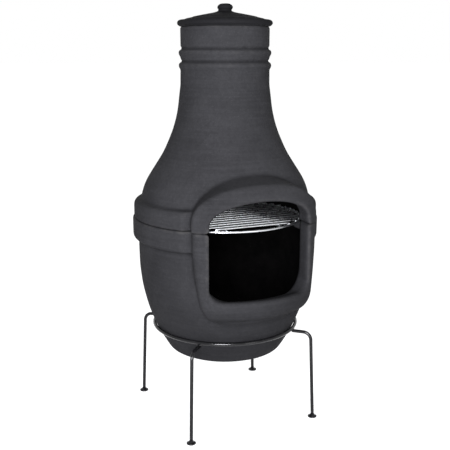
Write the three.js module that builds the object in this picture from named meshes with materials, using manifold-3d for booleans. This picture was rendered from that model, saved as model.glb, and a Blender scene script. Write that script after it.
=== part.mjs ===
// Clay chiminea on a wire stand: a two-part clay body, a clay lid and a loose wire grill.
// Millimetres, +Z up. The origin is on the ground under the body's axis, and the mouth faces -Y.
// Angles around the axis are measured from the mouth, positive towards +X.
import * as THREE from 'three';
import { mergeVertices } from 'three/addons/utils/BufferGeometryUtils.js';
import Module from 'manifold-3d';

const wasm = await Module();
wasm.setup();

// ---------------------------------------------------------------- driving dimensions

const touchGap = 0.3; // left between two pieces that touch
const edgeChamfer = 3; // broken edge of a clay rim

// Bowl: the lower clay shell. The shares are of its height, measured up from its base.
const bowlBaseZ = 147;
const bowlHeight = 299; // from the base to the seam that carries the upper shell
const bowlRadius = 188.8; // the upright upper part of the wall
const bowlStraightShare = 0.7793; // above this share of the height the wall is upright
const bowlTaper = 68; // how far the wall draws in from there down to the base
const bowlTaperPower = 2.35;
const bowlEdgeHeight = 8; // rounding between base and wall
const bowlEdgeInset = 12.2;
const bowlWall = 17;
const bowlFloor = 16;
const bowlFloorRounding = 6;

// Dome and chimney: the upper clay shell
const chimneyHeight = 397; // from the seam to the neck's top
const domeInset = 4.3; // how far the dome stands back from the bowl's wall
const domeWall = 17;
const neckRadius = 93.5;
const neckWall = 15;
const neckStraight = 98; // height of the straight part of the neck
const neckRingDrops = [79, 53]; // from the neck's top down to each raised ring
const neckRingProud = 4;
const neckRingHalfHeight = 7;

// Raised collars on both sides of the seam
const lowerBandProud = 11.7; // beyond the bowl's wall
const lowerBandHeight = 46;
const upperBandProud = 13; // beyond the dome's wall
const upperBandHeight = 41;
const bandRounding = 9;

// Mouth and its raised frame
const mouthHalfWidth = 108;
const mouthSillShare = 0.5418; // share of the bowl's height
const mouthSpringRise = 14; // from the seam up to where the arch starts
const mouthArchRise = 45; // from there to the top of the arch
const mouthCorner = 13;
const frameWidth = 33; // how broad the frame's face is beside the mouth
const frameArchWidth = 32; // and over it
const frameCorner = 60; // rounding of its two lower corners
const frameProud = 20.2; // beyond the bowl's wall
const frameArchProud = [25, 31, 35]; // beyond the dome's wall under, in and on top of the arch
const frameUndercutShare = 0.3645; // share of the bowl's height where the frame's underside runs out
const frameSillLip = 7; // upright part of the frame's face under the mouth

// Lid
const lidOverhang = 6.5; // beyond the neck
const lidRimHeight = 13;
const lidConeHeight = 28; // from the lid's underside to the foot of the knob
const lidRecess = 4; // depth of the hollow inside the collar
const knobRadius = 17;
const knobHeight = 20;
const knobRounding = 7;
const knobFlare = 6; // the cone runs into the knob's neck this far outside the knob
const knobNeckInset = 2.5;
const collarDrop = 10; // locating collar inside the flue
const collarWall = 10;
const collarClearance = 3;

// Grill
const grillClearance = 2; // between the rim and the narrower of the two shells
const grillDrop = 5; // from the seam down to the middle of the rim's wire
const grillRimWire = 5;
const grillBarWire = 4;
const grillBarCount = 15;
const grillEndSpace = 23; // from the rim to the outermost bar
const grillStayShare = 0.368; // the two cross stays lie at this share of the rim's radius
const grillStayGap = 1.5; // from a stay's end to the rim's wire
const lugAngles = [-56, 56, 180];
const lugWidth = 24;
const lugHeight = 24;
const lugReach = 14; // how far a lug reaches in under the rim

// Stand
const standTurn = 1.2; // degrees that the stand is turned from the mouth's symmetry
const legCount = 4;
const standRod = 7.5;
const ringContactShare = 0.194; // share of the bowl's height where the ring carries it
const footReach = 48.2; // from the ring's circle out to the feet's circle
const legSplay = 2.4; // degrees
const legBend = 17; // bend radius of the rod's centreline
const footRadius = 10;
const footRim = 3;
const footHeight = 7;
const footBossWall = 1.2; // the foot's top is this much wider than the rod all round

// How finely round shapes are divided
const roundSegments = 48; // around the clay shells
const lidSegments = 40;
const ringSegments = 56;
const footSegments = 20;
const wireSides = 8;
const rodSides = 10;
const legSteps = 28;

// ---------------------------------------------------------------- sizes that follow

const seamZ = bowlBaseZ + bowlHeight;
const bowlStraightZ = bowlBaseZ + bowlHeight * bowlStraightShare;
const mouthSillZ = bowlBaseZ + bowlHeight * mouthSillShare;
const frameUndercutZ = bowlBaseZ + bowlHeight * frameUndercutShare;
const ringContactZ = bowlBaseZ + bowlHeight * ringContactShare;
const domeFootZ = seamZ + touchGap;
const neckTopZ = seamZ + chimneyHeight;
const neckStraightZ = neckTopZ - neckStraight;
const neckRingHeights = neckRingDrops.map((drop) => neckTopZ - drop);
const mouthSpringZ = seamZ + mouthSpringRise;
const mouthTopZ = mouthSpringZ + mouthArchRise;
const frameTopZ = mouthTopZ + frameArchWidth;

const domeRadius = bowlRadius - domeInset;
const lowerBandRadius = bowlRadius + lowerBandProud;
const upperBandRadius = domeRadius + upperBandProud;
const frameRadius = bowlRadius + frameProud;
const frameHalfWidth = mouthHalfWidth + frameWidth;
const frameHalfAngle = Math.asin(frameHalfWidth / frameRadius);
const cutReach = 1.2 * frameRadius; // blocks that cut through the front run out to here

const grillSpace = Math.min(bowlRadius - bowlWall, domeRadius - domeWall);
const grillRadius = grillSpace - grillClearance - grillRimWire / 2;
const grillBarPitch = 2 * (grillRadius - grillEndSpace) / (grillBarCount - 1);
const grillStayOffset = grillRadius * grillStayShare;
const grillRimZ = seamZ - grillDrop;
const grillBarZ = grillRimZ + grillRimWire / 2 + touchGap + grillBarWire / 2;
const lugTopZ = grillRimZ - grillRimWire / 2 - touchGap;

// ---------------------------------------------------------------- colours

const clay = { color: 0x45464a, roughness: 0.85, metalness: 0.0 };
const chrome = { color: 0xd8dadd, roughness: 0.15, metalness: 1.0 };
const blackSteel = { color: 0x121315, roughness: 0.3, metalness: 0.6 };

// ---------------------------------------------------------------- shared helpers

// Welds a geometry's corners into a closed body.
function solid(geometry) {
  const weldDistance = 1e-3;
  geometry.deleteAttribute('normal');
  geometry.deleteAttribute('uv');
  const merged = mergeVertices(geometry, weldDistance);
  const corners = merged.index.array;
  const kept = [];
  for (let i = 0; i < corners.length; i += 3) {
    const [a, b, c] = corners.slice(i, i + 3);
    if (a !== b && b !== c && c !== a) kept.push(a, b, c);
  }
  return new wasm.Manifold(new wasm.Mesh({
    numProp: 3,
    vertProperties: new Float32Array(merged.attributes.position.array),
    triVerts: new Uint32Array(kept),
  }));
}

function mesh(name, body, look) {
  const { vertProperties, triVerts } = body.getMesh();
  const geometry = new THREE.BufferGeometry();
  geometry.setAttribute('position', new THREE.BufferAttribute(vertProperties, 3));
  geometry.setIndex(new THREE.BufferAttribute(triVerts, 1));
  geometry.computeVertexNormals();
  const piece = new THREE.Mesh(geometry, new THREE.MeshStandardMaterial(look));
  piece.name = name;
  return piece;
}

const at = (radius, z) => new THREE.Vector2(radius, z);

// Turns an outline of (radius, height) points around Z. The outline runs up its outer side.
function turned(outline, segments = roundSegments) {
  return solid(new THREE.LatheGeometry(outline, segments).rotateX(Math.PI / 2));
}

// Points of an arc in an outline, from one angle to another.
function arcPoints(centreRadius, centreZ, radius, fromAngle, toAngle, steps = 4) {
  return Array.from({ length: steps + 1 }, (_, i) => {
    const angle = fromAngle + (toAngle - fromAngle) * i / steps;
    return at(centreRadius + radius * Math.cos(angle), centreZ + radius * Math.sin(angle));
  });
}

// Moves each point of a curve inwards, square to the curve.
function offsetInwards(points, wall) {
  return points.map((point, i) => {
    const before = points[Math.max(i - 1, 0)];
    const after = points[Math.min(i + 1, points.length - 1)];
    const along = after.clone().sub(before).normalize();
    return at(point.x - along.y * wall, point.y + along.x * wall);
  });
}

// A round bar along a path.
function rod(path, radius, steps) {
  const section = new THREE.Shape().absarc(0, 0, radius, 0, 2 * Math.PI);
  const options = { steps, curveSegments: rodSides / 2, bevelEnabled: false, extrudePath: path };
  return solid(new THREE.ExtrudeGeometry(section, options));
}

const straightRod = (from, to, radius) => rod(new THREE.LineCurve3(from, to), radius, 1);

// Direction on the ground at an angle from the mouth.
function outward(degrees) {
  const angle = THREE.MathUtils.degToRad(degrees);
  return new THREE.Vector3(Math.sin(angle), -Math.cos(angle), 0);
}

// ---------------------------------------------------------------- clay profiles

// Outer radius of the bowl's wall at a height, without its collar.
function bowlWallRadius(z) {
  const taperHeight = bowlStraightZ - bowlBaseZ;
  const share = Math.max(0, (bowlStraightZ - z) / taperHeight);
  return bowlRadius - bowlTaper * share ** bowlTaperPower;
}

function bowlWallSlope(z) {
  return (bowlWallRadius(z + 1) - bowlWallRadius(z - 1)) / 2;
}

// The bowl's wall from its base up to where it turns upright, without its collar.
function bowlWallCurve() {
  const wallStartZ = bowlBaseZ + bowlEdgeHeight;
  const steps = 9;
  return Array.from({ length: steps + 1 }, (_, i) => {
    const z = THREE.MathUtils.lerp(wallStartZ, bowlStraightZ, i / steps);
    return at(bowlWallRadius(z), z);
  });
}

// The dome and neck from the seam up to the neck's mouth, without collar and rings. Each point
// is a share of the height up to the straight neck and a share of the dome's radius beyond it.
function domeCurve() {
  const shape = [[0, 1], [0.107, 0.995], [0.254, 0.846], [0.469, 0.42], [0.68, 0.14], [0.89, 0.027], [1, 0]];
  const curve = new THREE.SplineCurve(shape.map(([up, out]) => at(
    THREE.MathUtils.lerp(neckRadius, domeRadius, out),
    THREE.MathUtils.lerp(domeFootZ, neckStraightZ, up),
  )));
  return [...curve.getPoints(16), at(neckRadius, neckTopZ)];
}

// Radius of a rising curve at a height.
function radiusAtHeight(points, z) {
  const i = points.findIndex((point, k) => k > 0 && point.y >= z);
  const low = points[i - 1];
  const high = points[i];
  return THREE.MathUtils.mapLinear(z, low.y, high.y, low.x, high.x);
}

// ---------------------------------------------------------------- mouth outlines

function archOutline(halfWidth, sillZ, springZ, topZ, corner) {
  const outline = new THREE.Shape();
  outline.moveTo(-halfWidth + corner, sillZ);
  outline.lineTo(halfWidth - corner, sillZ);
  outline.absarc(halfWidth - corner, sillZ + corner, corner, -Math.PI / 2, 0);
  outline.absellipse(0, springZ, halfWidth, topZ - springZ, 0, Math.PI);
  outline.absarc(-halfWidth + corner, sillZ + corner, corner, Math.PI, 1.5 * Math.PI);
  return outline;
}

// A block of the outline's shape that runs from inside the body out through its front wall.
function throughFront(outline) {
  const options = { depth: cutReach, steps: 1, curveSegments: 10, bevelEnabled: false };
  return solid(new THREE.ExtrudeGeometry(outline, options).rotateX(Math.PI / 2));
}

const mouthCut = () => throughFront(
  archOutline(mouthHalfWidth, mouthSillZ, mouthSpringZ, mouthTopZ, mouthCorner),
);

// The frame's outline as a block: an arch from the front, narrowed to a radial wedge.
function frameBlock() {
  const front = -Math.PI / 2;
  const wedgePlan = new THREE.Shape();
  wedgePlan.absarc(0, 0, cutReach, front - frameHalfAngle, front + frameHalfAngle);
  wedgePlan.lineTo(0, 0);
  const options = { depth: frameTopZ, steps: 1, curveSegments: 10, bevelEnabled: false };
  const wedge = solid(new THREE.ExtrudeGeometry(wedgePlan, options));
  const footZ = frameUndercutZ - bowlWall / 2;
  return wedge.intersect(throughFront(
    archOutline(frameHalfWidth, footZ, mouthSpringZ, frameTopZ, frameCorner),
  ));
}

// ---------------------------------------------------------------- bowl

function bowl() {
  const wall = bowlWallCurve();
  const bandFootZ = seamZ - lowerBandHeight;
  const floorZ = bowlBaseZ + bowlFloor;
  const cavity = offsetInwards(wall, bowlWall).filter(({ y }) => y > floorZ + bowlFloorRounding);
  const shell = turned([
    at(0, bowlBaseZ),
    at(wall[0].x - bowlEdgeInset, bowlBaseZ),
    ...wall,
    at(bowlRadius, bandFootZ),
    ...arcPoints(lowerBandRadius - bandRounding, bandFootZ + bandRounding, bandRounding, -Math.PI / 2, 0),
    at(lowerBandRadius, seamZ - edgeChamfer),
    at(lowerBandRadius - edgeChamfer, seamZ),
    at(bowlRadius - bowlWall, seamZ),
    ...cavity.toReversed(),
    at(cavity[0].x - bowlFloorRounding, floorZ),
    at(0, floorZ),
  ]);
  let body = shell.add(bowlFrame()).subtract(mouthCut());
  for (const angle of lugAngles) body = body.add(lug(angle));
  return body;
}

// The part of the mouth's frame that stands on the bowl, rounded under along the sill.
function bowlFrame() {
  const inWall = (z) => at(bowlWallRadius(z) - bowlWall / 2, z);
  const faceFootZ = mouthSillZ - frameSillLip;
  const underside = new THREE.QuadraticBezierCurve(
    inWall(frameUndercutZ - bowlWall / 2),
    at(frameRadius, THREE.MathUtils.lerp(frameUndercutZ, faceFootZ, 1 / 3)),
    at(frameRadius, faceFootZ),
  );
  const ring = turned([
    ...underside.getPoints(6),
    at(frameRadius, seamZ),
    inWall(seamZ),
    inWall(mouthSillZ),
    underside.v0.clone(),
  ]);
  return ring.intersect(frameBlock());
}

// A clay lug on the bowl's inner wall that carries the grill's rim.
function lug(degrees) {
  const innerEnd = grillRadius - lugReach;
  const rootRadius = bowlRadius - bowlWall / 2;
  const side = new THREE.Shape([
    at(innerEnd, lugTopZ),
    at(innerEnd, lugTopZ - lugHeight / 2),
    at(rootRadius, lugTopZ - lugHeight),
    at(rootRadius, lugTopZ),
  ]);
  const block = new THREE.ExtrudeGeometry(side, { depth: lugWidth, steps: 1, bevelEnabled: false });
  block.translate(0, 0, -lugWidth / 2);
  block.rotateX(Math.PI / 2);
  block.rotateZ(THREE.MathUtils.degToRad(degrees - 90));
  return solid(block);
}

// ---------------------------------------------------------------- dome and chimney

function domeAndChimney() {
  const core = domeCurve();
  const bandTopZ = domeFootZ + upperBandHeight;
  const wallAt = (z) => THREE.MathUtils.mapLinear(z, domeFootZ, neckTopZ, domeWall, neckWall);
  const inner = core.map((point, i) => offsetInwards(core, wallAt(point.y))[i]);
  inner[0].set(domeRadius - domeWall, domeFootZ);
  inner.at(-1).set(neckRadius - neckWall, neckTopZ);
  const shell = turned([
    at(upperBandRadius - edgeChamfer, domeFootZ),
    at(upperBandRadius, domeFootZ + edgeChamfer),
    ...arcPoints(upperBandRadius - bandRounding, bandTopZ - 2 * bandRounding, bandRounding, 0, Math.PI / 3),
    ...core.filter(({ y }) => y > bandTopZ && y <= neckStraightZ),
    ...neckRingHeights.flatMap(neckRing),
    at(neckRadius, neckTopZ - edgeChamfer),
    at(neckRadius - edgeChamfer, neckTopZ),
    ...inner.toReversed(),
    at(upperBandRadius - edgeChamfer, domeFootZ),
  ]);
  return shell.add(domeFrame(core)).subtract(mouthCut());
}

// The part of the mouth's frame that stands on the dome and leans back with it.
function domeFrame(core) {
  const beyondCore = (proud, z) => at(radiusAtHeight(core, z) + proud, z);
  const [under, middle, top] = frameArchProud;
  const faceCurve = new THREE.SplineCurve([
    at(frameRadius, domeFootZ),
    at(frameRadius, mouthSpringZ),
    beyondCore(under, mouthTopZ - frameArchWidth / 3),
    beyondCore(middle, mouthTopZ + frameArchWidth / 2),
    beyondCore(top, frameTopZ),
  ]);
  const backHeights = [frameTopZ, mouthTopZ, mouthSpringZ, domeFootZ];
  const ring = turned([
    ...faceCurve.getPoints(8),
    ...backHeights.map((z) => beyondCore(-domeWall / 2, z)),
    at(frameRadius, domeFootZ),
  ]);
  return ring.intersect(frameBlock());
}

function neckRing(z) {
  const crest = neckRadius + neckRingProud;
  return [
    at(neckRadius, z - neckRingHalfHeight),
    at(crest, z - neckRingHalfHeight / 3),
    at(crest, z + neckRingHalfHeight / 3),
    at(neckRadius, z + neckRingHalfHeight),
  ];
}

// ---------------------------------------------------------------- lid

function lid() {
  const undersideZ = neckTopZ + touchGap;
  const rimRound = lidRimHeight / 2;
  const rimRadius = neckRadius + lidOverhang - rimRound;
  const coneTopZ = undersideZ + lidConeHeight;
  const knobTopZ = coneTopZ + knobHeight;
  const knobRound = knobRadius - knobRounding;
  const collarRadius = neckRadius - neckWall - collarClearance;
  return turned([
    at(0, undersideZ + lidRecess),
    at(collarRadius - collarWall, undersideZ + lidRecess),
    at(collarRadius - collarWall, undersideZ - collarDrop),
    at(collarRadius, undersideZ - collarDrop),
    at(collarRadius, undersideZ),
    ...arcPoints(rimRadius, undersideZ + rimRound, rimRound, -Math.PI / 2, Math.PI / 3, 5),
    at(knobRadius + knobFlare, coneTopZ),
    at(knobRadius - knobNeckInset, coneTopZ + knobHeight / 4),
    ...arcPoints(knobRound, coneTopZ + knobHeight / 2, knobRounding, -Math.PI / 4, Math.PI / 4, 2),
    at(knobRound, knobTopZ - edgeChamfer / 2),
    at(0, knobTopZ),
  ], lidSegments);
}

// ---------------------------------------------------------------- grill

function grillRim() {
  return solid(new THREE.TorusGeometry(grillRadius, grillRimWire / 2, wireSides, roundSegments));
}

// Half length of a chord of the rim's centreline at a distance from its middle.
const grillChord = (offset) => Math.sqrt(grillRadius ** 2 - offset ** 2);

function grillBar(y) {
  const half = grillChord(y);
  return straightRod(
    new THREE.Vector3(-half, y, 0), new THREE.Vector3(half, y, 0), grillBarWire / 2,
  );
}

// The stays lie under the bars and end just short of the rim's wire.
function grillStay(x) {
  const half = grillChord(x) - grillRimWire / 2 - grillStayGap;
  return straightRod(
    new THREE.Vector3(x, -half, 0), new THREE.Vector3(x, half, 0), grillBarWire / 2,
  );
}

// ---------------------------------------------------------------- stand

// The ring's section touches the bowl's wall square to it at ringContactZ.
const contactSlope = bowlWallSlope(ringContactZ);
const contactAngle = Math.atan(contactSlope);
const ringStandOff = standRod / 2 + touchGap;
const ringRadius = bowlWallRadius(ringContactZ) + ringStandOff * Math.cos(contactAngle);
const ringZ = ringContactZ - ringStandOff * Math.sin(contactAngle);
const armZ = ringZ - standRod - touchGap;
const footCircleRadius = ringRadius + footReach;

function standRing() {
  return solid(new THREE.TorusGeometry(ringRadius, standRod / 2, rodSides, ringSegments));
}

// One rod: an arm from under the ring, a bend, and a splayed leg down to the foot.
function leg(degrees) {
  const splay = THREE.MathUtils.degToRad(legSplay);
  const place = (radius, z) => outward(degrees).multiplyScalar(radius).setZ(z);
  const footEndZ = footHeight + touchGap + standRod / 2 * Math.sin(splay);
  const radiusAt = (z) => footCircleRadius - Math.tan(splay) * (z - footEndZ);
  const corner = place(radiusAt(armZ), armZ);
  const bendStart = place(radiusAt(armZ) - legBend, armZ);
  const bendEnd = place(radiusAt(armZ - legBend), armZ - legBend);
  const path = new THREE.CurvePath();
  path.add(new THREE.LineCurve3(place(ringRadius - standRod / 4, armZ), bendStart));
  path.add(new THREE.QuadraticBezierCurve3(bendStart, corner, bendEnd));
  path.add(new THREE.LineCurve3(bendEnd, place(footCircleRadius, footEndZ)));
  return rod(path, standRod / 2, legSteps);
}

function foot() {
  return turned([
    at(0, 0),
    at(footRadius, 0),
    at(footRadius, footRim),
    at(standRod / 2 + footBossWall, footHeight),
    at(0, footHeight),
  ], footSegments);
}

// ---------------------------------------------------------------- assembly

const group = new THREE.Group();
group.add(mesh('lid', lid(), clay));
group.add(mesh('dome_and_chimney', domeAndChimney(), clay));
group.add(mesh('bowl', bowl(), clay));

const grill = new THREE.Group();
const rim = mesh('grill_rim', grillRim(), chrome);
rim.position.z = grillRimZ;
grill.add(rim);
for (const [i, x] of [-grillStayOffset, grillStayOffset].entries()) {
  const stay = mesh(`grill_stay_${i + 1}`, grillStay(x), chrome);
  stay.position.z = grillRimZ;
  grill.add(stay);
}
for (let i = 0; i < grillBarCount; i += 1) {
  const y = (i - (grillBarCount - 1) / 2) * grillBarPitch;
  const bar = mesh(`grill_bar_${String(i + 1).padStart(2, '0')}`, grillBar(y), chrome);
  bar.position.z = grillBarZ;
  grill.add(bar);
}
group.add(grill);

const stand = new THREE.Group();
const ring = mesh('stand_ring', standRing(), blackSteel);
ring.position.z = ringZ;
stand.add(ring);
for (let i = 0; i < legCount; i += 1) {
  const degrees = standTurn + 360 / legCount * (i + 0.5);
  stand.add(mesh(`leg_${i + 1}`, leg(degrees), blackSteel));
  const disc = mesh(`foot_${i + 1}`, foot(), blackSteel);
  disc.position.copy(outward(degrees).multiplyScalar(footCircleRadius));
  stand.add(disc);
}
group.add(stand);

export default group;
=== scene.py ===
"""Looks of the clay chiminea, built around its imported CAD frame. Metres, +Z up, mouth towards -Y."""

import math

import bmesh
import bpy
import numpy as np
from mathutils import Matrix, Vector


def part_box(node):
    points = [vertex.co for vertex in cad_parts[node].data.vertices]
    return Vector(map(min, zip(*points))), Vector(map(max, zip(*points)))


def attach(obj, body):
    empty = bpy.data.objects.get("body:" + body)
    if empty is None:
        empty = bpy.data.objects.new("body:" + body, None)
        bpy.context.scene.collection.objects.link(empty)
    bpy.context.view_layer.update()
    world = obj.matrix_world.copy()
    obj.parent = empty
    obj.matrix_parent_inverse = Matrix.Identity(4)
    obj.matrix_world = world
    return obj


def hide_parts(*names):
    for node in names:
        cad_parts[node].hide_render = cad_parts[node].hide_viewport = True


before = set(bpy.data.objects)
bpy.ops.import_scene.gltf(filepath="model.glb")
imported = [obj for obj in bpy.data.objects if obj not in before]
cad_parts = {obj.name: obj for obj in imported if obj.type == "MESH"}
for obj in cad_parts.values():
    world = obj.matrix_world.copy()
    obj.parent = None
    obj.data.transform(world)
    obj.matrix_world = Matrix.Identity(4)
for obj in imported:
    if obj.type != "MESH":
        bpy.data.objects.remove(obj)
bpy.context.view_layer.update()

# ---------------------------------------------------------------- sizes taken from the frame

BOWL_LOW, BOWL_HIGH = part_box("bowl")
DOME_LOW, DOME_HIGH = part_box("dome_and_chimney")
LID_LOW, LID_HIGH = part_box("lid")
RIM_LOW, RIM_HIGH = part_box("grill_rim")
RING_LOW, RING_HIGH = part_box("stand_ring")
FOOT_NAMES = sorted(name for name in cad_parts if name.startswith("foot_"))
LEG_NAMES = sorted(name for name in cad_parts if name.startswith("leg_"))
BAR_NAMES = sorted(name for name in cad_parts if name.startswith("grill_bar_"))
STAY_NAMES = sorted(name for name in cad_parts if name.startswith("grill_stay_"))

BASE_Z = BOWL_LOW.z
SEAM_Z = BOWL_HIGH.z
DOME_FOOT_Z = DOME_LOW.z
NECK_TOP_Z = DOME_HIGH.z
LOWER_BAND_RADIUS = BOWL_HIGH.x
UPPER_BAND_RADIUS = DOME_HIGH.x
FRAME_RADIUS = -BOWL_LOW.y

# ---------------------------------------------------------------- clay sizes

MM = 0.001
CELL = 3.0 * MM  # grid on which the clay is meshed

UNEVENNESS = 1.0 * MM  # how much clay the hand-made surface gives away at most
FILLET = 5 * MM  # where one form of the clay runs into the next

LOWER_BAND_PROUD = 11.7 * MM
LOWER_BAND_FOOT_Z = SEAM_Z - 46 * MM
LOWER_BAND_EDGE = 12 * MM
BOWL_RADIUS = LOWER_BAND_RADIUS - LOWER_BAND_PROUD
BOWL_STRAIGHT_Z = BASE_Z + 233 * MM
BOWL_TAPER = 68 * MM
BOWL_TAPER_POWER = 2.35
BOWL_WALL = 17 * MM
BOWL_FLOOR = 16 * MM
BOWL_FOOT_EDGE = 10 * MM
FIREBOX_CORNER = 30 * MM
SEAM_EDGE = 4 * MM

UPPER_BAND_PROUD = 13 * MM
UPPER_BAND_TOP_Z = DOME_FOOT_Z + 38 * MM
UPPER_BAND_EDGE = 14 * MM
DOME_RADIUS = UPPER_BAND_RADIUS - UPPER_BAND_PROUD
DOME_WALL = 17 * MM
NECK_RADIUS = 93.5 * MM
NECK_WALL = 15 * MM
NECK_TOP_EDGE = 5 * MM
NECK_RING_HEIGHTS = (NECK_TOP_Z - 79 * MM, NECK_TOP_Z - 53 * MM)
NECK_RING_ROLL = 7 * MM
NECK_RING_SINK = 3.5 * MM  # how far the roll's middle lies inside the neck's surface
NECK_GROOVE_HEIGHTS = (NECK_TOP_Z - 69.5 * MM, NECK_TOP_Z - 44 * MM)
NECK_GROOVE_DEPTH = 2.8 * MM
NECK_GROOVE_REACH = 3.2 * MM

MOUTH_HALF_WIDTH = 108 * MM
MOUTH_SILL_Z = BASE_Z + 162 * MM
MOUTH_SPRING_Z = SEAM_Z + 14 * MM
MOUTH_TOP_Z = SEAM_Z + 59 * MM
MOUTH_EDGE = 12 * MM
MOUTH_DEPTH = 36 * MM  # from the frame's face to where the opening has its inner shape
MOUTH_CORNER = 22 * MM
MOUTH_CORNER_GROWTH = 26 * MM  # from the face to the inner shape, as the two below
MOUTH_WIDENING = 2 * MM
SILL_FALL = 8 * MM
MOUTH_BACK_Y = -60 * MM  # the opening's field ends here, well inside the firebox

FRAME_WIDTH = 33 * MM
FRAME_CORNER = 46 * MM
FRAME_TAPER = 7 * MM  # how much narrower the frame is on each side near the sill
FRAME_TAPER_TOP_Z = LOWER_BAND_FOOT_Z + 30 * MM
FRAME_TAPER_HEIGHT = 97 * MM
FRAME_ARCH_WIDTH = 32 * MM
FRAME_FULLNESS = 2.5
FRAME_FOOT_Z = MOUTH_SILL_Z - 50 * MM
FRAME_FOOT_SINK = 12 * MM  # its outline runs on below its foot, where it is level with the bowl
FRAME_UNDERCUT_HEIGHT = 46 * MM
FRAME_TOP_Z = MOUTH_TOP_Z + FRAME_ARCH_WIDTH
FRAME_LEAN = 18 * MM  # how far the frame's face leans back up to the top of the arch
FRAME_DRAFT = 0.3  # how far its outer side leans outwards for each unit of depth
FRAME_LOWER_EDGE = 10 * MM
FRAME_UPPER_EDGE = 5 * MM

# The clay gives way beside the frame: how deep, how far out in full, and the reach beyond that
BOWL_DIP = (5 * MM, 6 * MM, 14 * MM)
LOWER_BAND_DIP = (7 * MM, 6 * MM, 8 * MM)
DOME_DIP = (9 * MM, 9 * MM, 22 * MM)
UPPER_BAND_DIP = (10 * MM, 7 * MM, 8 * MM)
CHANNEL_DEPTH = 4 * MM  # the fingers' groove along the frame of the bowl
CHANNEL_PLACE = 11 * MM
CHANNEL_REACH = 5 * MM

LUG_ANGLES = (-56, 56, 180)  # degrees round the axis from the mouth
LUG_HALF_WIDTH = 12 * MM
LUG_THICKNESS = 12 * MM  # at its tip
LUG_TIP_RADIUS = 149 * MM
LUG_SLOPE = 0.45
LUG_ROOT_DEPTH = 8 * MM  # how far a lug is let into the wall
LUG_CLEARANCE = 0.3 * MM  # under the grill's rim

ROD_RADIUS = 7.5 / 2 * MM  # the CAD's own rod

# ---------------------------------------------------------------- new objects


def link_object(name, data):
    made = bpy.data.objects.new(name, data)
    bpy.context.scene.collection.objects.link(made)
    return made


def object_from(bm, name):
    mesh = bpy.data.meshes.new(name)
    bm.to_mesh(mesh)
    bm.free()
    return link_object(name, mesh)


def smooth_object(name, points, faces):
    mesh = bpy.data.meshes.new(name)
    mesh.from_pydata(points, [], faces)
    shade_smooth(mesh)
    mesh.validate()
    return link_object(name, mesh)


def shade_smooth(mesh):
    mesh.polygons.foreach_set("use_smooth", [True] * len(mesh.polygons))


# ---------------------------------------------------------------- camera, light and floor

CAMERA_TURN = math.radians(-24)  # round the axis, from straight in front of the mouth
CAMERA_DISTANCE = 1.6647
CAMERA_HEIGHT = 0.7842
CAMERA_PITCH = math.radians(12.32)
CAMERA_LENS_MM = 62.05
CAMERA_SENSOR_MM = 36

FLOOR_RADIUS = 80  # far enough out to meet the white background at the horizon
FLOOR_GREY = 0.6
FLOOR_GLOW = 0.43  # with the studio's light this brings the floor up to white


def add_camera():
    data = bpy.data.cameras.new("camera")
    data.lens = CAMERA_LENS_MM
    data.sensor_width = CAMERA_SENSOR_MM
    camera = link_object("camera", data)
    camera.location = (
        math.sin(CAMERA_TURN) * CAMERA_DISTANCE,
        -math.cos(CAMERA_TURN) * CAMERA_DISTANCE,
        CAMERA_HEIGHT,
    )
    camera.rotation_euler = (math.pi / 2 - CAMERA_PITCH, 0, CAMERA_TURN)
    bpy.context.scene.camera = camera


def add_softbox(name, turn_degrees, distance, height, size, power, aim_z, colour):
    data = bpy.data.lights.new(name, "AREA")
    data.color = colour
    data.shape = "RECTANGLE"
    data.size, data.size_y = size
    data.energy = power
    light = link_object(name, data)
    turn = math.radians(turn_degrees)
    light.location = (math.sin(turn) * distance, -math.cos(turn) * distance, height)
    towards = Vector((0, 0, aim_z)) - light.location
    light.rotation_euler = towards.to_track_quat("-Z", "Y").to_euler()


def add_studio():
    """White all round, a large softbox beside the camera and a weak one on the other side."""
    scene = bpy.context.scene
    scene.view_settings.view_transform = "Standard"
    world = bpy.data.worlds.new("studio")
    world.use_nodes = True
    world.node_tree.nodes["Background"].inputs["Color"].default_value = (1, 1, 1, 1)
    world.node_tree.nodes["Background"].inputs["Strength"].default_value = 1.0
    scene.world = world
    add_softbox(
        "key", turn_degrees=-28, distance=2.0, height=0.8, size=(0.7, 1.0), power=150,
        aim_z=0.65, colour=(0.95, 0.95, 1.0),
    )
    add_softbox(
        "fill", turn_degrees=15, distance=2.8, height=0.9, size=(0.8, 1.4), power=20,
        aim_z=0.6, colour=(1.0, 1.0, 0.97),
    )


def add_floor():
    material = bpy.data.materials.new("pale_floor")
    material.use_nodes = True
    bsdf = material.node_tree.nodes["Principled BSDF"]
    bsdf.inputs["Base Color"].default_value = (FLOOR_GREY, FLOOR_GREY, FLOOR_GREY, 1)
    bsdf.inputs["Roughness"].default_value = 1.0
    bsdf.inputs["Specular IOR Level"].default_value = 0.0
    bsdf.inputs["Emission Color"].default_value = (1, 1, 1, 1)
    bsdf.inputs["Emission Strength"].default_value = FLOOR_GLOW
    bm = bmesh.new()
    bmesh.ops.create_circle(bm, cap_ends=True, segments=96, radius=FLOOR_RADIUS)
    floor = object_from(bm, "floor")
    floor.data.materials.append(material)


# ---------------------------------------------------------------- distance fields
# A clay piece is a field: negative inside the clay, positive outside, and near the true distance
# in metres. The blends below say how large a rounding or fillet is.


def join(a, b, blend):
    """Union with a fillet of about the blend's size."""
    share = np.clip(0.5 + 0.5 * (b - a) / blend, 0, 1)
    return b + (a - b) * share - blend * share * (1 - share)


def meet(a, b, blend):
    """Intersection with a rounded edge of about the blend's size."""
    return -join(-a, -b, blend)


def cut(a, b, blend):
    """What is left of a when b is taken away, with a rounded edge."""
    return meet(a, -b, blend)


def smooth_step(low, high, value):
    t = np.clip((value - low) / (high - low), 0, 1)
    return t * t * (3 - 2 * t)


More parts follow.
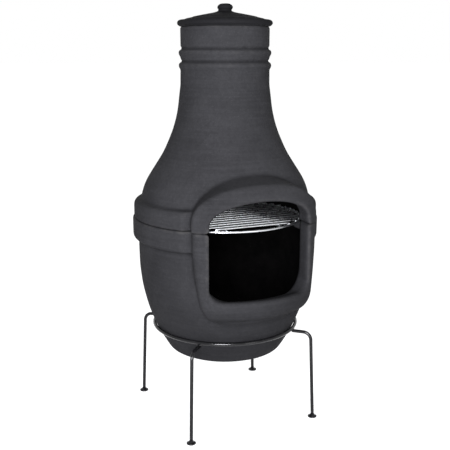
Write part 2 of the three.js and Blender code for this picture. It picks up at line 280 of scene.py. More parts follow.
class Profile:
    """A wall's radius against height, on a smooth curve through a few points."""

    SAMPLES = 240

    def __init__(self, points):
        points = np.array(points, float)
        padded = np.vstack([2 * points[0] - points[1], points, 2 * points[-1] - points[-2]])
        track = []
        for i in range(1, len(padded) - 2):
            p0, p1, p2, p3 = padded[i - 1:i + 3]
            t = np.linspace(0, 1, self.SAMPLES // len(points))[:, None]
            track.append(0.5 * (
                2 * p1 + (p2 - p0) * t + (2 * p0 - 5 * p1 + 4 * p2 - p3) * t ** 2
                + (3 * p1 - p0 - 3 * p2 + p3) * t ** 3
            ))
        track = np.vstack(track)
        self.z = track[:, 1]
        self.radius = track[:, 0]
        always_rising_z = self.z + 1e-9 * np.arange(len(self.z))
        self.cosine = 1 / np.sqrt(1 + np.gradient(self.radius, always_rising_z) ** 2)

    def at(self, z):
        return np.interp(z, self.z, self.radius)

    def field(self, r, z):
        return (r - self.at(z)) * np.interp(z, self.z, self.cosine)


def bowl_wall_radius(z):
    share = np.clip((BOWL_STRAIGHT_Z - z) / (BOWL_STRAIGHT_Z - BASE_Z), 0, 1.1)
    return BOWL_RADIUS - BOWL_TAPER * share ** BOWL_TAPER_POWER


def bowl_wall_field(r, z):
    step = 1 * MM
    slope = (bowl_wall_radius(z + step) - bowl_wall_radius(z - step)) / (2 * step)
    return (r - bowl_wall_radius(z)) / np.sqrt(1 + slope ** 2)


def arch_field(x, z, half_width, sill_z, spring_z, top_z, corner, fullness=2.0):
    """Distance to an upright outline with a flat sill, rounded lower corners and an arch.

    A fullness of 2 makes the arch elliptical, and a higher one gives it squarer shoulders.
    """
    centre_z = (sill_z + spring_z) / 2
    half_height = (spring_z - sill_z) / 2
    dx = np.abs(x) - (half_width - corner)
    dz = np.abs(z - centre_z) - (half_height - corner)
    dz = np.where(z > centre_z, -half_height, dz)
    lower = np.hypot(np.maximum(dx, 0), np.maximum(dz, 0)) + np.minimum(np.maximum(dx, dz), 0) - corner
    rise = top_z - spring_z
    px = np.abs(x) / half_width + 1e-6
    pz = np.maximum((z - spring_z) / rise, 1e-6)
    reach = (px ** fullness + pz ** fullness) ** (1 / fullness)
    steepness = np.hypot(px ** (fullness - 1) / half_width, pz ** (fullness - 1) / rise)
    upper = (reach - 1) * reach ** (fullness - 1) / steepness
    return np.where(z > spring_z, upper, lower)


def wobble(x, y, z, size):
    """The hand-made unevenness of the clay, which only ever takes clay away."""
    turn = np.arctan2(y, x)
    waves = (
        np.sin(3 * turn + 9 * z + 1.3) + 0.7 * np.sin(5 * turn - 23 * z + 0.4)
        + 0.5 * np.sin(8 * turn + 61 * z) + 0.4 * np.sin(2 * turn + 140 * z + 2.0)
    )
    return size * (waves + 2.6) / 5.2


# ---------------------------------------------------------------- clay: mouth and its frame


def mouth_field(x, y, z):
    """The opening, whose lower corners grow rounder towards the inside of the wall."""
    depth = smooth_step(0, MOUTH_DEPTH, FRAME_RADIUS - np.hypot(x, y))
    opening = arch_field(
        x, z,
        MOUTH_HALF_WIDTH + MOUTH_WIDENING * depth,
        MOUTH_SILL_Z - SILL_FALL * depth,
        MOUTH_SPRING_Z,
        MOUTH_TOP_Z,
        MOUTH_CORNER + MOUTH_CORNER_GROWTH * depth,
    )
    return np.maximum(opening, y - MOUTH_BACK_Y)


def frame_outline_field(x, y, z):
    """Distance from the frame's outline. Its sides are radial, so widths are those at its face."""
    across = x * FRAME_RADIUS / np.maximum(np.hypot(x, y), 0.3 * FRAME_RADIUS)
    below_collar = np.clip((FRAME_TAPER_TOP_Z - z) / FRAME_TAPER_HEIGHT, 0, 1.5)
    outline = arch_field(
        across, z,
        MOUTH_HALF_WIDTH + FRAME_WIDTH - FRAME_TAPER * below_collar ** 2,
        FRAME_FOOT_Z - FRAME_FOOT_SINK,
        MOUTH_SPRING_Z,
        FRAME_TOP_Z,
        FRAME_CORNER,
        FRAME_FULLNESS,
    )
    return np.where(y < 0, outline, 1.0)


def frame_block(frame_edge, face, edge):
    """The frame down to the body: its face, and its outer side that leans outwards from there."""
    side = (frame_edge + FRAME_DRAFT * face) / math.sqrt(1 + FRAME_DRAFT ** 2)
    return meet(side, face, edge)


def dip_beside_frame(frame_edge, dip):
    """How much clay is missing just outside the frame."""
    depth, shoulder, reach = dip
    return depth * np.exp(-(np.maximum(frame_edge - shoulder, 0) / reach) ** 2)


# ---------------------------------------------------------------- clay: bowl


def lug_field(x, y, z, degrees):
    turn = math.radians(degrees)
    along = x * math.sin(turn) - y * math.cos(turn)
    across = x * math.cos(turn) + y * math.sin(turn)
    top = RIM_LOW.z - LUG_CLEARANCE
    slope = (along - LUG_TIP_RADIUS) * LUG_SLOPE
    under = (top - LUG_THICKNESS - slope) - z
    block = meet(np.abs(across) - LUG_HALF_WIDTH, z - top, 4 * MM)
    block = meet(block, under, 5 * MM)
    return meet(block, LUG_TIP_RADIUS - along, 5 * MM)


def bowl_field(x, y, z):
    r = np.hypot(x, y)
    uneven = wobble(x, y, z, UNEVENNESS)
    outer = bowl_wall_field(r, z) + uneven
    outer = meet(outer, BASE_Z - z, BOWL_FOOT_EDGE)
    frame_edge = frame_outline_field(x, y, z)
    outer += dip_beside_frame(frame_edge, BOWL_DIP)
    channel = CHANNEL_DEPTH * np.exp(-((frame_edge - CHANNEL_PLACE) / CHANNEL_REACH) ** 2)
    outer += channel * smooth_step(MOUTH_SILL_Z, MOUTH_SILL_Z + 50 * MM, z)
    band_end = dip_beside_frame(frame_edge, LOWER_BAND_DIP)
    band = r - LOWER_BAND_RADIUS + 0.6 * uneven + band_end
    band = meet(band, LOWER_BAND_FOOT_Z - z, LOWER_BAND_EDGE)
    body = join(outer, band, FILLET)

    rise = np.clip((z - FRAME_FOOT_Z) / FRAME_UNDERCUT_HEIGHT, 0, 1)
    undercut = np.sqrt(1 - (1 - rise) ** 2)
    face_radius = bowl_wall_radius(z) * (1 - undercut) + FRAME_RADIUS * undercut
    face = (r - face_radius) * 0.7 + 0.5 * uneven  # 0.7 for the slant of the underside
    body = join(body, frame_block(frame_edge, face, FRAME_LOWER_EDGE), 4 * MM)
    body = meet(body, z - SEAM_Z, SEAM_EDGE)

    inner = bowl_wall_field(r, z) + BOWL_WALL
    cavity = meet(inner, BASE_Z + BOWL_FLOOR - z, FIREBOX_CORNER)
    body = cut(body, cavity, FILLET)
    body = cut(body, mouth_field(x, y, z), MOUTH_EDGE)
    for degrees in LUG_ANGLES:
        lug = meet(lug_field(x, y, z, degrees), inner - LUG_ROOT_DEPTH, 2 * MM)
        body = join(body, lug, FILLET)
    return body


# ---------------------------------------------------------------- clay: dome and chimney

DOME = Profile([
    (DOME_RADIUS, DOME_FOOT_Z),
    (DOME_RADIUS - 0.5 * MM, DOME_FOOT_Z + 32 * MM),
    (DOME_RADIUS - 14 * MM, DOME_FOOT_Z + 76 * MM),
    (NECK_RADIUS + 0.42 * (DOME_RADIUS - NECK_RADIUS), DOME_FOOT_Z + 140 * MM),
    (NECK_RADIUS + 0.14 * (DOME_RADIUS - NECK_RADIUS), DOME_FOOT_Z + 203 * MM),
    (NECK_RADIUS + 2.5 * MM, DOME_FOOT_Z + 266 * MM),
    (NECK_RADIUS + 0.5 * MM, DOME_FOOT_Z + 299 * MM),
    (NECK_RADIUS, NECK_TOP_Z),
])


def ring_field(r, z, height):
    """One of the raised rings round the neck: a soft roll of clay."""
    return np.hypot(r - NECK_RADIUS + NECK_RING_SINK, (z - height) * 0.85) - NECK_RING_ROLL


def dome_field(x, y, z):
    r = np.hypot(x, y)
    uneven = wobble(x, y, z, UNEVENNESS)
    core = DOME.field(r, z)
    frame_edge = frame_outline_field(x, y, z)
    valley = dip_beside_frame(frame_edge, DOME_DIP)
    outer = core + uneven + valley * smooth_step(UPPER_BAND_TOP_Z - 20 * MM, UPPER_BAND_TOP_Z, z)
    for height in NECK_RING_HEIGHTS:
        outer = join(outer, ring_field(r, z, height), 3 * MM)
    for height in NECK_GROOVE_HEIGHTS:
        outer += NECK_GROOVE_DEPTH * np.exp(-((z - height) / NECK_GROOVE_REACH) ** 2)

    band_end = dip_beside_frame(frame_edge, UPPER_BAND_DIP)
    band = r - UPPER_BAND_RADIUS + 0.5 * uneven + band_end
    band = meet(band, z - UPPER_BAND_TOP_Z, UPPER_BAND_EDGE)
    body = join(outer, band, FILLET)

    rise = np.clip((z - MOUTH_SPRING_Z) / (FRAME_TOP_Z - MOUTH_SPRING_Z), 0, 1.5)
    face = r - FRAME_RADIUS + FRAME_LEAN * rise ** 2 + 0.5 * uneven
    raised = frame_block(frame_edge, face, FRAME_UPPER_EDGE)
    raised = meet(raised, -core - DOME_WALL / 2, 2 * MM)
    body = join(body, raised, 3 * MM)
    body = meet(body, DOME_FOOT_Z - z, SEAM_EDGE)
    body = meet(body, z - NECK_TOP_Z, NECK_TOP_EDGE)

    height_share = np.clip((z - DOME_FOOT_Z) / (NECK_TOP_Z - DOME_FOOT_Z), 0, 1)
    wall = DOME_WALL + (NECK_WALL - DOME_WALL) * height_share
    body = cut(body, core + wall, FILLET)
    return cut(body, mouth_field(x, y, z), MOUTH_EDGE)


# ---------------------------------------------------------------- clay: lid

LID_UNDERSIDE_Z = LID_LOW.z + 10 * MM
LID_RADIUS = LID_HIGH.x
LID_CELL = 1.6 * MM
LID_SLAB_INSET = 6 * MM
LID_ROLL = 7.3 * MM  # the rolled rim, then where its middle is
LID_ROLL_INSET = 7.6 * MM
LID_ROLL_HEIGHT = 6.9 * MM
COLLAR_RADIUS = NECK_RADIUS - NECK_WALL - 3 * MM
COLLAR_WALL = 10 * MM
COLLAR_ROOT = 6 * MM  # how far the collar runs up into the lid
LID_HOLLOW_TOP = 4 * MM
KNOB_RADIUS = 16.6 * MM
KNOB_FLATNESS = 1.95
KNOB_DROP = 9.2 * MM  # from its top down to its widest part
DIMPLE_RADIUS = 14 * MM
DIMPLE_RISE = 12 * MM  # from the knob's top up to the middle of the dimple's sphere
STEM_RADIUS = 11 * MM
LID_SLOPE = Profile([  # height over the underside against radius, so the two are swapped here
    (32 * MM, 13 * MM), (28.6 * MM, 23 * MM), (24.6 * MM, 44 * MM), (20.6 * MM, 64 * MM),
    (18.4 * MM, 71 * MM), (15.8 * MM, 82 * MM), (11 * MM, 92 * MM), (9 * MM, 100 * MM),
])


def lid_field(x, y, z):
    r = np.hypot(x, y)
    uneven = wobble(x, y, z * 0.2, 0.8 * MM)
    height = z - LID_UNDERSIDE_Z
    cone = (height - LID_SLOPE.at(r)) * 0.96 + uneven
    slab = meet(cone, -height, 3 * MM)
    slab = meet(slab, r - LID_RADIUS + LID_SLAB_INSET, 4 * MM)
    roll = np.hypot(r - LID_RADIUS + LID_ROLL_INSET, (height - LID_ROLL_HEIGHT) * 1.12)
    body = join(slab, roll - LID_ROLL + 0.7 * uneven, 2.5 * MM)

    turn = np.arctan2(y, x)
    lobes = 1 - 0.05 * np.cos(2 * turn) - 0.02 * np.sin(5 * turn)
    knob_z = LID_HIGH.z - KNOB_DROP
    knob = (np.hypot(r / lobes, (z - knob_z) * KNOB_FLATNESS) - KNOB_RADIUS) * 0.62
    dimple = np.hypot(r, z - LID_HIGH.z - DIMPLE_RISE) - DIMPLE_RADIUS
    knob = cut(knob, dimple, 4 * MM)
    stem = meet(r - STEM_RADIUS, z - knob_z, 3 * MM)
    body = join(join(body, stem, 6 * MM), knob, 3 * MM)

    collar = np.abs(r - COLLAR_RADIUS + COLLAR_WALL / 2) - COLLAR_WALL / 2
    collar = meet(collar, LID_LOW.z - z, 4 * MM)
    collar = meet(collar, height - COLLAR_ROOT, 1 * MM)
    body = join(body, collar, 2 * MM)
    hollow = meet(r - COLLAR_RADIUS + COLLAR_WALL, height - LID_HOLLOW_TOP, 3 * MM)
    return cut(body, hollow, 2 * MM)


# ---------------------------------------------------------------- clay: meshing


def grid_axis(low, high, cell):
    count = int(math.ceil((high - low) / cell)) + 5
    middle = (low + high) / 2
    return (np.arange(count) - (count - 1) / 2) * cell + middle


CORNERS = np.array([(i, j, k) for i in (0, 1) for j in (0, 1) for k in (0, 1)])
EDGES = [
    (a, b) for a in range(8) for b in range(a + 1, 8)
    if np.abs(CORNERS[a] - CORNERS[b]).sum() == 1
]


def net_points(values, axes, cells, cell):
    """One point in each crossed cell, in the middle of the places where its edges cross the surface."""
    corner_values = np.stack([values[tuple((cells + corner).T)] for corner in CORNERS], 1)
    total = np.zeros((len(cells), 3))
    count = np.zeros(len(cells))
    for a, b in EDGES:
        va, vb = corner_values[:, a], corner_values[:, b]
        crossed = (va < 0) != (vb < 0)
        t = np.where(crossed, va / np.where(crossed, va - vb, 1), 0)
        place = CORNERS[a] + t[:, None] * (CORNERS[b] - CORNERS[a])
        total += place * crossed[:, None]
        count += crossed
    inside_cell = total / count[:, None]
    return np.stack([axes[d][cells[:, d]] + inside_cell[:, d] * cell for d in range(3)], 1)


def net_faces(inside, ids):
    """A quad across every grid edge that crosses the surface."""
    faces = []
    for d in range(3):
        u, v = (d + 1) % 3, (d + 2) % 3
        here = [slice(None)] * 3
        there = [slice(None)] * 3
        here[d], there[d] = slice(None, -1), slice(1, None)
        crossing = inside[tuple(here)] != inside[tuple(there)]
        at = np.argwhere(crossing)
        at = at[(at[:, u] > 0) & (at[:, v] > 0)]
        back_u = np.eye(3, dtype=int)[u]
        back_v = np.eye(3, dtype=int)[v]
        quad = np.stack([
            ids[tuple((at - back_u - back_v).T)], ids[tuple((at - back_v).T)],
            ids[tuple(at.T)], ids[tuple((at - back_u).T)],
        ], 1)
        flip = ~inside[tuple(at.T)]
        quad[flip] = quad[flip][:, ::-1]
        faces.append(quad)
    return np.vstack(faces)


def settle(points, field, cell, rounds=4):
    """Moves each point on to the surface itself."""
    step = 0.2 * MM
    for _ in range(rounds):
        value = field(*points.T)
        slope = np.stack([
            (field(*(points + step * axis).T) - field(*(points - step * axis).T)) / (2 * step)
            for axis in np.eye(3)
        ], 1)
        move = slope * (value / np.maximum((slope ** 2).sum(1), 0.1))[:, None]
        length = np.linalg.norm(move, axis=1, keepdims=True)
        points = points - move * np.minimum(1, 0.5 * cell / np.maximum(length, 1e-9))
    return points


def clay_mesh(name, field, low, high, cell):
    axes = [grid_axis(low[d], high[d], cell) for d in range(3)]
    x, y, z = np.meshgrid(*axes, indexing="ij")
    values = field(x, y, z)
    inside = values < 0
    counts = sum(
        inside[tuple(slice(c, n - 1 + c) for c, n in zip(corner, inside.shape))].astype(np.int8)
        for corner in CORNERS
    )
    cells = np.argwhere((counts > 0) & (counts < 8))
    ids = np.full(np.array(inside.shape), -1, int)
    ids[tuple(cells.T)] = np.arange(len(cells))
    points = settle(net_points(values, axes, cells, cell), field, cell)
    return smooth_object(name, points.tolist(), net_faces(inside, ids).tolist())


def mark(piece, name, values):
    """Stores one number for each point of a piece, for its material to read."""
    layer = piece.data.attributes.new(name, "FLOAT", "POINT")
    layer.data.foreach_set("value", np.asarray(values, np.float32))


def points_of(piece):
    flat = np.zeros(len(piece.data.vertices) * 3)
    piece.data.vertices.foreach_get("co", flat)
    return flat.reshape(-1, 3)


# ---------------------------------------------------------------- wires


def sweep(name, points, radius, sides=14, closed=False):
    """A round wire along a path, with slightly rounded ends where the path is open."""
    points = np.asarray(points, float)
    if closed:
        ahead, behind = np.roll(points, -1, 0), np.roll(points, 1, 0)
        radii = np.full(len(points), radius)
    else:
        first = points[1] - points[0]
        last = points[-1] - points[-2]
        first *= 0.35 * radius / np.linalg.norm(first)
        last *= 0.35 * radius / np.linalg.norm(last)
        points = np.vstack([points[0], points[0] + first, points[1:-1], points[-1] - last, points[-1]])
        ahead = np.vstack([points[1:], points[-1:]])
        behind = np.vstack([points[:1], points[:-1]])
        radii = np.full(len(points), radius)
        radii[0] = radii[-1] = 0.72 * radius
    along = ahead - behind
    along /= np.linalg.norm(along, axis=1, keepdims=True)
    side = np.cross(along[0], (0.3, 0.2, 0.93))
    rings = []
    turn = np.arange(sides) * 2 * math.pi / sides
    for point, direction, size in zip(points, along, radii):
        side = side - direction * side.dot(direction)
        side /= np.linalg.norm(side)
        up = np.cross(direction, side)
        rings.append(point + size * (np.outer(np.cos(turn), side) + np.outer(np.sin(turn), up)))
    count = len(points)
    faces = []
    for i in range(count if closed else count - 1):
        here, there = i * sides, (i + 1) % count * sides
        for k in range(sides):
            following = (k + 1) % sides
            faces.append((here + k, here + following, there + following, there + k))
    if not closed:
        faces.append(tuple(reversed(range(sides))))
        faces.append(tuple(range((count - 1) * sides, count * sides)))
    return smooth_object(name, np.vstack(rings).tolist(), faces)


def circle_path(radius, z, count):
    turn = np.arange(count) * 2 * math.pi / count
    return np.stack([radius * np.cos(turn), radius * np.sin(turn), np.full(count, z)], 1)


def turned(name, outline, centre, sides):
    """A solid of revolution about an upright axis. Its outline starts and ends on the axis."""
    rings = [(radius, z) for radius, z in outline if radius > 0]
    turn = np.arange(sides) * 2 * math.pi / sides
    points = [
        (centre[0] + radius * math.cos(t), centre[1] + radius * math.sin(t), z)
        for radius, z in rings for t in turn
    ]
    faces = []
    for i in range(len(rings) - 1):
        for k in range(sides):
            following = (k + 1) % sides
            low, high = i * sides, (i + 1) * sides
            faces.append((low + k, low + following, high + following, high + k))
    faces.append(tuple(reversed(range(sides))))
    faces.append(tuple(range((len(rings) - 1) * sides, len(rings) * sides)))
    return smooth_object(name, points, faces)


def weld_bead(name, place, size, seed, flatness):
    """A lumpy drop of weld metal, with its height as a share of its width."""
    rng = np.random.default_rng(seed)
    bm = bmesh.new()
    bmesh.ops.create_icosphere(bm, subdivisions=3, radius=1)
    phases = rng.uniform(0, 6.28, 3)
    stretch = (size, size, size * flatness)
    for vert in bm.verts:
        ripple = sum(0.07 * math.sin(5 * vert.co[d] + phases[d]) for d in range(3))
        vert.co *= 1 + ripple
        vert.co = Vector([place[d] + vert.co[d] * stretch[d] for d in range(3)])
    bead = object_from(bm, name)
    shade_smooth(bead.data)
    return bead


# ---------------------------------------------------------------- materials


class Shader:
    """A material's nodes, added one at a time. Inputs are given by name, or as _0, _1 by number."""

    def __init__(self, name):
        self.material = bpy.data.materials.new(name)
        self.material.use_nodes = True
        self.tree = self.material.node_tree
        self.bsdf = self.tree.nodes["Principled BSDF"]

    def add(self, kind, settings=None, **inputs):
        made = self.tree.nodes.new("ShaderNode" + kind)
        for key, value in (settings or {}).items():
            setattr(made, key, value)
        for key, value in inputs.items():
            numbered = key[1:].isdigit()
            self.put(made.inputs[int(key[1:]) if numbered else key], value)
        return made

    def put(self, socket, value):
        if isinstance(value, bpy.types.NodeSocket):
            self.tree.links.new(value, socket)
        else:
            socket.default_value = value

    def set(self, **values):
        for key, value in values.items():
            self.put(self.bsdf.inputs[key.replace("_", " ")], value)

    def place(self, scale):
        where = self.add("TexCoord").outputs["Object"]
        return self.add("Mapping", Vector=where, Scale=scale).outputs["Vector"]

    def noise(self, scale, detail, rough, stretch=(1, 1, 1)):
        where = self.place(stretch)
        made = self.add("TexNoise", Vector=where, Scale=scale, Detail=detail, Roughness=rough)
        return made.outputs["Fac"]

    def ramp(self, value, low, high, to_low=0.0, to_high=1.0):
        made = self.add("MapRange", Value=value)
        limits = {"From Min": low, "From Max": high, "To Min": to_low, "To Max": to_high}
        for key, number in limits.items():
            made.inputs[key].default_value = number
        return made.outputs["Result"]

    def mix(self, share, a, b):
        made = self.add("Mix", {"data_type": "RGBA"})
        self.put(made.inputs["Factor"], share)
        self.put(made.inputs[6], a)
        self.put(made.inputs[7], b)
        return made.outputs[2]

    def maths(self, operation, a, b):
        return self.add("Math", {"operation": operation}, _0=a, _1=b).outputs[0]

    def stain(self, colour, where, strength, stain):
        """A colour with another laid over it, where it is wanted and as strongly."""
        return self.mix(self.maths("MULTIPLY", where, strength), colour, stain)

    def bump(self, height, distance, strength, under=None):
        made = self.add("Bump", Height=height, Distance=distance, Strength=strength)
        if under is not None:
            self.put(made.inputs["Normal"], under)
        return made.outputs["Normal"]

    def attribute(self, name):
        return self.add("Attribute", {"attribute_name": name}).outputs["Fac"]


# Paint and steel, as red, green, blue and alpha
PAINT_DARK = (0.0088, 0.0088, 0.0096, 1)
PAINT_LIGHT = (0.0158, 0.0158, 0.0170, 1)
PAINT_STREAK = (0.024, 0.024, 0.026, 1)
PAINT_MOTTLE = (0.0065, 0.0065, 0.0070, 1)
PAINT_SPECK = (0.045, 0.045, 0.045, 1)
# painted shade: pits, grooves and the valley beside the frame darker
PAINT_HOLLOW_SHADE = (0.006, 0.006, 0.0065, 1)
# worn paint on the edges, lightened further as painted highlight
PAINT_WORN_AND_HIGHLIT = (0.034, 0.033, 0.032, 1)
# painted shade: the lid and the lower bowl darker
PAINT_LID_AND_BASE_SHADE = (0.004, 0.004, 0.0044, 1)
# soot inside, darkened near to black as painted shade
SOOT_AND_SHADE_DARK = (0.0002, 0.0002, 0.0002, 1)
SOOT_AND_SHADE_LIGHT = (0.0009, 0.0008, 0.0008, 1)
CHROME_BRIGHT = (0.52, 0.53, 0.54, 1)
CHROME_DULL = (0.42, 0.43, 0.45, 1)
CHROME_SCRATCH = (0.3, 0.3, 0.32, 1)
STEEL_DARK = (0.002, 0.002, 0.0022, 1)
STEEL_LIGHT = (0.004, 0.004, 0.0045, 1)
STEEL_CHIP = (0.03, 0.028, 0.026, 1)


def painted_clay():
    """Matt paint on fired clay: patches, turning streaks, specks, pits, worn edges lightened further as
    painted highlight, painted shade in pits and hollows and on the lid and lower bowl, and soot inside
    darkened near to black as painted shade.
    """
    shader = Shader("painted_clay")
    patches = shader.ramp(shader.noise(6, 8, 0.62), 0.32, 0.68)
    colour = shader.mix(patches, PAINT_DARK, PAINT_LIGHT)
    streaks = shader.ramp(shader.noise(9, 6, 0.6, (1, 1, 28)), 0.42, 0.7)
    colour = shader.stain(colour, streaks, 0.22, PAINT_STREAK)
    mottle = shader.ramp(shader.noise(160, 4, 0.7), 0.38, 0.62)
    colour = shader.stain(colour, mottle, 0.28, PAINT_MOTTLE)
    specks = shader.ramp(shader.noise(700, 2, 0.5), 0.66, 0.74)
    colour = shader.stain(colour, specks, 0.5, PAINT_SPECK)
    pits = shader.ramp(shader.noise(330, 3, 0.6), 0.70, 0.77)
    # pits painted darker, as painted shade
    colour = shader.stain(colour, pits, 0.7, PAINT_HOLLOW_SHADE)
    rubbed = shader.ramp(shader.noise(60, 5, 0.7), 0.4, 0.62)
    # edges lighter: wear in patches, and painted highlight
    worn_and_highlit = shader.maths("MULTIPLY", shader.attribute("edge"), rubbed)
    colour = shader.stain(colour, worn_and_highlit, 0.5, PAINT_WORN_AND_HIGHLIT)
    # painted shade in the grooves and the valley beside the frame
    colour = shader.stain(colour, shader.attribute("hollow"), 0.7, PAINT_HOLLOW_SHADE)
    # painted shade: the whole lid, and the bowl darker towards the bottom
    colour = shader.stain(colour, shader.attribute("lid_and_base_shade"), 0.85, PAINT_LID_AND_BASE_SHADE)
    # inside: soot, darkened near to black as painted shade
    soot_and_shade = shader.mix(shader.ramp(shader.noise(25, 6, 0.65), 0.35, 0.65), SOOT_AND_SHADE_DARK, SOOT_AND_SHADE_LIGHT)
    colour = shader.mix(shader.attribute("inside"), colour, soot_and_shade)
    grain = shader.bump(shader.noise(1500, 3, 0.6), 0.00025, 0.5)
    turning = shader.bump(shader.noise(14, 5, 0.62, (1, 1, 22)), 0.0016, 0.35, grain)
    pitted = shader.bump(shader.maths("MULTIPLY", pits, -1.0), 0.0008, 0.7, turning)
    matt = shader.ramp(shader.noise(40, 5, 0.6), 0.3, 0.7, 0.62, 0.82)
    shader.set(
        Base_Color=colour,
        Roughness=shader.maths("MAXIMUM", matt, shader.attribute("inside")),
        Normal=shader.bump(shader.noise(90, 5, 0.6), 0.0012, 0.3, pitted),
    )
    shader.bsdf.inputs["Specular IOR Level"].default_value = 0.02
    return shader.material


def chrome_wire():
    """Chromed wire, a little clouded and scratched."""
    shader = Shader("chrome_wire")
    cloud = shader.noise(60, 4, 0.6)
    scratches = shader.ramp(shader.noise(500, 2, 0.5, (1, 0.04, 1)), 0.58, 0.72)
    colour = shader.mix(shader.ramp(cloud, 0.3, 0.7), CHROME_BRIGHT, CHROME_DULL)
    colour = shader.stain(colour, scratches, 0.35, CHROME_SCRATCH)
    polish = shader.ramp(cloud, 0.3, 0.7, 0.24, 0.34)
    shader.set(
        Base_Color=colour,
        Metallic=1.0,
        Roughness=shader.maths("ADD", polish, shader.maths("MULTIPLY", scratches, 0.15)),
        Normal=shader.bump(shader.noise(900, 2, 0.5), 0.00005, 0.12),
    )
    return shader.material


def black_steel():
    """Steel under glossy black enamel, with orange peel and small chips."""
    shader = Shader("black_steel")
    cloud = shader.noise(45, 4, 0.6)
    colour = shader.mix(shader.ramp(cloud, 0.35, 0.65), STEEL_DARK, STEEL_LIGHT)
    chips = shader.ramp(shader.noise(260, 4, 0.65), 0.735, 0.76)
    colour = shader.stain(colour, chips, 0.8, STEEL_CHIP)
    peel = shader.bump(shader.noise(420, 2, 0.4), 0.0002, 0.35)
    gloss = shader.ramp(cloud, 0.3, 0.7, 0.14, 0.22)
    shader.set(
        Base_Color=colour,
        Roughness=shader.maths("ADD", gloss, shader.maths("MULTIPLY", chips, 0.3)),
        Normal=shader.bump(shader.noise(30, 3, 0.5), 0.0006, 0.15, peel),
    )
    shader.bsdf.inputs["Specular IOR Level"].default_value = 0.2
    return shader.material


# ---------------------------------------------------------------- clay pieces

WORN_AND_HIGHLIT_BULGE = (0.10 * MM, 0.5 * MM)  # from unmarked to fully marked, in this and the next three
GROOVE_BULGE = (0.05 * MM, 0.35 * MM)
INNER_SKIN_DEPTH = (9 * MM, 16 * MM)
LUG_DEPTH = (19 * MM, 26 * MM)
# how much of the soot and painted shade the lugs are spared
LUG_SOOT_AND_SHADE_LOSS = 0.6
LUG_FOOT_Z = RIM_LOW.z - 45 * MM
# painted shade: the bowl darker towards the bottom between these heights, and the whole lid
SHADE_HEIGHTS = (SEAM_Z - 30 * MM, BASE_Z + 40 * MM)
SHADE_ON_BOWL = 0.45


def surface_marks(piece, depth_inside):
    """Marks a clay piece's edges, grooves, inside, lid and lower bowl for the paint to follow: wear and
    painted highlight on the edges, painted shade in the grooves, on the lid and on the lower bowl, and
    soot with painted shade inside.
    """
    mesh = piece.data
    count = len(mesh.vertices)
    edges = np.zeros(len(mesh.edges) * 2, int)
    mesh.edges.foreach_get("vertices", edges)
    edges = edges.reshape(-1, 2)
    points = points_of(piece)
    normals = np.zeros(count * 3)
    mesh.vertices.foreach_get("normal", normals)
    normals = normals.reshape(-1, 3)
    neighbours = np.maximum(np.bincount(edges.ravel(), minlength=count), 1)

    def spread(values):
        return (
            np.bincount(edges[:, 0], values[edges[:, 1]], count)
            + np.bincount(edges[:, 1], values[edges[:, 0]], count)
        ) / neighbours

    mean = np.stack([spread(points[:, d]) for d in range(3)], 1)
    bulge = -((mean - points) * normals).sum(1)
    for _ in range(3):
        bulge = 0.5 * bulge + 0.5 * spread(bulge)
    # convex edges, for wear and painted highlight
    mark(piece, "edge", smooth_step(*WORN_AND_HIGHLIT_BULGE, bulge))
    # grooves and the valley beside the frame, for painted shade
    mark(piece, "hollow", smooth_step(*GROOVE_BULGE, -bulge))
    mark(piece, "inside", depth_inside(points))
    z = points[:, 2]
    # the lid, and the bowl towards the bottom, for painted shade
    on_lid = np.where(z > NECK_TOP_Z + 1 * MM, 1.0, 0.0)
    mark(piece, "lid_and_base_shade", on_lid + SHADE_ON_BOWL * smooth_step(*SHADE_HEIGHTS, z))


def shell_inside(wall_radius):
    """How far a point of a clay shell is inside its wall: 0 on the outer skin, 1 on the inner one."""
    def share(points):
        z = points[:, 2]
        depth = wall_radius(z) - np.hypot(points[:, 0], points[:, 1])
        on_lug = smooth_step(*LUG_DEPTH, depth) * (z > LUG_FOOT_Z) * (z < SEAM_Z)
        return smooth_step(*INNER_SKIN_DEPTH, depth) * (1 - LUG_SOOT_AND_SHADE_LOSS * on_lug)
    return share


def add_clay(paint):
    in_bowl, in_dome = shell_inside(bowl_wall_radius), shell_inside(DOME.at)
    makers = [
        ("clay_bowl", "bowl", "bowl", bowl_field, CELL, in_bowl),
        ("clay_dome_and_chimney", "dome_and_chimney", "chimney", dome_field, CELL, in_dome),
        ("clay_lid", "lid", "lid", lid_field, LID_CELL, lambda points: np.zeros(len(points))),
    ]
    for name, node, body, field, cell, inside in makers:
        low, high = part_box(node)
        piece = clay_mesh(name, field, low, high, cell)
        surface_marks(piece, inside)
        finish_piece(piece, node, body, paint)


def finish_piece(piece, node, body, material):
    piece.data.materials.append(material)
    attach(piece, body)
    if node:
        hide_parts(node)


# ---------------------------------------------------------------- grill

GRILL_WELD = 2.3 * MM
GRILL_WELD_INSET = 0.4 * MM
BAR_BOW_MM = 0.5  # how far a bar is bent sideways at most


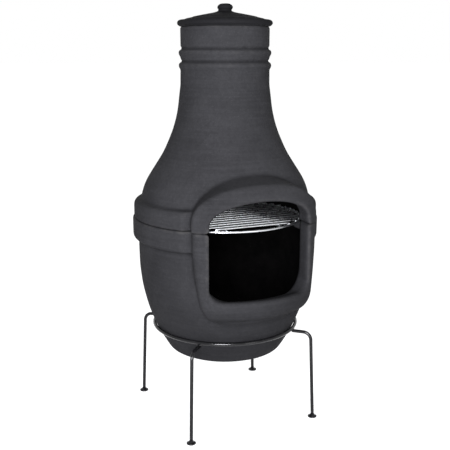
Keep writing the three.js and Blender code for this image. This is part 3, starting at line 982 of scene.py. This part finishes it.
def add_grill(chrome):
    rim_wire = (RIM_HIGH.z - RIM_LOW.z) / 2
    rim_radius = RIM_HIGH.x - rim_wire
    rim_z = (RIM_HIGH.z + RIM_LOW.z) / 2
    rim = sweep("wire_grill_rim", circle_path(rim_radius, rim_z, 144), rim_wire, 16, closed=True)
    finish_piece(rim, "grill_rim", "grill", chrome)
    rng = np.random.default_rng(4)
    for name in BAR_NAMES + STAY_NAMES:
        low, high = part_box(name)
        radius = (high.z - low.z) / 2
        middle = (low + high) / 2
        lengthwise = 0 if high.x - low.x > high.y - low.y else 1
        half = (high[lengthwise] - low[lengthwise]) / 2
        share = np.linspace(-1, 1, 15)
        path = np.tile(np.array(middle), (len(share), 1))
        path[:, lengthwise] += share * half
        bow = rng.uniform(-BAR_BOW_MM, BAR_BOW_MM) * MM
        path[:, 1 - lengthwise] += bow * (1 - share ** 2)
        bar = sweep("wire_" + name, path, radius)
        finish_piece(bar, name, "grill", chrome)
        ends = (path[0], path[-1])
        for i, end in enumerate(ends):
            inward = path[1] - path[0] if i == 0 else path[-2] - path[-1]
            inward = inward / np.linalg.norm(inward)
            place = end + inward * GRILL_WELD_INSET
            if name in BAR_NAMES:
                place = place + np.array((0, 0, -0.9 * radius))
            bead = weld_bead(f"weld_{name}_{i + 1}", place, GRILL_WELD, len(name) + i, 0.7)
            finish_piece(bead, None, "grill", chrome)


# ---------------------------------------------------------------- stand

LEG_SPLAY = math.radians(2.4)
LEG_BEND = 17 * MM
LEG_END_SINK = 1.5 * MM  # how far a leg goes down into its foot
LEG_WELD = 3.0 * MM
LEG_WELD_SPACING = 2.6 * MM  # to each side of the leg's middle
ARM_OVERLAP = 2 * MM  # how far an arm runs in past the middle of the ring's rod


def bent_leg_path(foot, ring_radius, arm_z, foot_top):
    """Arm under the ring, a bend, and a splayed run down to the foot."""
    foot_radius = math.hypot(foot[0], foot[1])
    out = np.array((foot[0], foot[1], 0)) / foot_radius
    lean = math.tan(LEG_SPLAY)
    up = np.array((0, 0, 1))

    def place(radius, z):
        return out * radius + up * z

    def leg_radius(z):
        return foot_radius - lean * (z - foot_top)

    turn_angle = math.pi / 2 - LEG_SPLAY
    setback = LEG_BEND * math.tan(turn_angle / 2)
    corner = place(leg_radius(arm_z), arm_z)
    down = place(leg_radius(0), 0) - corner
    down /= np.linalg.norm(down)
    start = corner - out * setback
    centre = start - up * LEG_BEND
    angles = np.linspace(0, turn_angle, 16)
    arc = [centre + LEG_BEND * (math.sin(a) * out + math.cos(a) * up) for a in angles]
    arm_radii = np.linspace(ring_radius - ARM_OVERLAP, leg_radius(arm_z) - setback, 5)
    arm = [place(radius, arm_z) for radius in arm_radii]
    run_length = (arc[-1][2] - foot_top) / -down[2]
    run = [arc[-1] + down * share * run_length for share in np.linspace(0, 1, 14)]
    return np.array(arm[:-1] + arc + run[1:])


def foot_outline(size, top):
    """A pressed disc with a rolled rim, and a boss that the leg stands in."""
    boss = ROD_RADIUS
    return [
        (0, 0), (size - 1.4 * MM, 0), (size - 0.4 * MM, 0.4 * MM), (size, 1.3 * MM),
        (size - 0.1 * MM, 2.5 * MM), (size - 0.9 * MM, 3.2 * MM), (size - 2.4 * MM, 3.7 * MM),
        (boss + 1.9 * MM, 4.8 * MM), (boss + 0.9 * MM, 6.0 * MM), (boss + 0.5 * MM, top - 0.2 * MM),
        (boss - 0.6 * MM, top), (0, top),
    ]


def add_stand(steel):
    ring_radius = RING_HIGH.x - ROD_RADIUS
    ring_z = (RING_HIGH.z + RING_LOW.z) / 2
    ring_path = circle_path(ring_radius, ring_z, 160)
    ring = sweep("rod_stand_ring", ring_path, ROD_RADIUS, 20, closed=True)
    finish_piece(ring, "stand_ring", "stand", steel)
    for number, (leg_name, foot_name) in enumerate(zip(LEG_NAMES, FOOT_NAMES), 1):
        foot_low, foot_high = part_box(foot_name)
        centre = (foot_low + foot_high) / 2
        arm_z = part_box(leg_name)[1].z - ROD_RADIUS
        path = bent_leg_path(centre, ring_radius, arm_z, foot_high.z - LEG_END_SINK)
        leg = sweep("rod_" + leg_name, path, ROD_RADIUS, 18)
        finish_piece(leg, leg_name, "stand", steel)
        outline = foot_outline((foot_high.x - foot_low.x) / 2, foot_high.z)
        foot = turned("disc_" + foot_name, outline, centre, 40)
        finish_piece(foot, foot_name, "stand", steel)
        out = Vector((centre.x, centre.y, 0)).normalized()
        for side in (-1, 1):
            across = Vector((-out.y, out.x, 0)) * side * LEG_WELD_SPACING
            place = out * ring_radius + across + Vector((0, 0, (ring_z + arm_z) / 2))
            bead = weld_bead(f"weld_{leg_name}_{side + 2}", place, LEG_WELD, number + side, 0.8)
            finish_piece(bead, None, "stand", steel)


# ---------------------------------------------------------------- build

add_camera()
add_studio()
add_floor()
add_clay(painted_clay())
add_grill(chrome_wire())
add_stand(black_steel())
